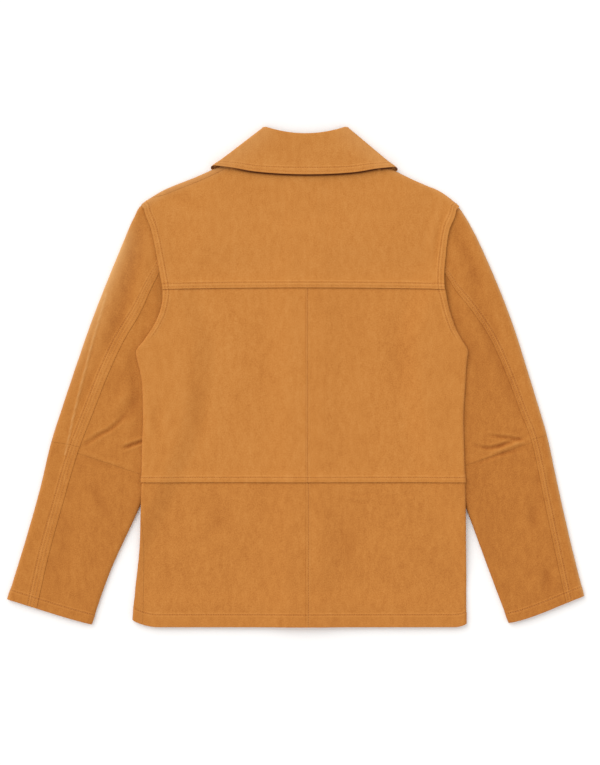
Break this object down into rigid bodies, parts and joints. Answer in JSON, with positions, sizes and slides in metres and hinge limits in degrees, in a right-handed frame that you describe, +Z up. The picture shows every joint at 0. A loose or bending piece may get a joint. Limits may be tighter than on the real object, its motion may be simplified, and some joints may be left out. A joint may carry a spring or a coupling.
{
  "type": "suede jacket",
  "caption": "Unlined suede jacket laid flat on its fronts: yoked back, buttoned fronts, turned-down collar and long two-piece sleeves.",
  "frame": {"origin": "on the surface it lies on, under the middle of the jacket's outline", "axes": "+X across the jacket towards the wearer's right cuff, +Y from the hem to the collar, +Z up through the cloth, out of the back"},
  "size_m": [0.864, 0.7497, 0.0141],
  "materials": {
    "back_suede": "matt suede nap",
    "front_suede": "matt suede nap",
    "sleeve_suede": "matt suede nap",
    "collar_suede": "matt suede nap",
    "horn": "satin horn"
  },
  "bodies": {
    "root": {"back_yoke": "back_suede", "back_panel_left": "back_suede", "back_panel_right": "back_suede", "back_skirt_left": "back_suede", "back_skirt_right": "back_suede", "front_left": "front_suede", "front_right": "front_suede", "left_sleeve_top_upper": "sleeve_suede", "left_sleeve_top_lower": "sleeve_suede", "left_sleeve_under_upper": "sleeve_suede", "left_sleeve_under_lower": "sleeve_suede", "right_sleeve_top_upper": "sleeve_suede", "right_sleeve_top_lower": "sleeve_suede", "right_sleeve_under_upper": "sleeve_suede", "right_sleeve_under_lower": "sleeve_suede", "collar_leaf": "collar_suede", "collar_stand": "collar_suede", "button_1": "horn", "button_2": "horn", "button_3": "horn", "button_4": "horn", "button_5": "horn"}
  },
  "joints": []
}
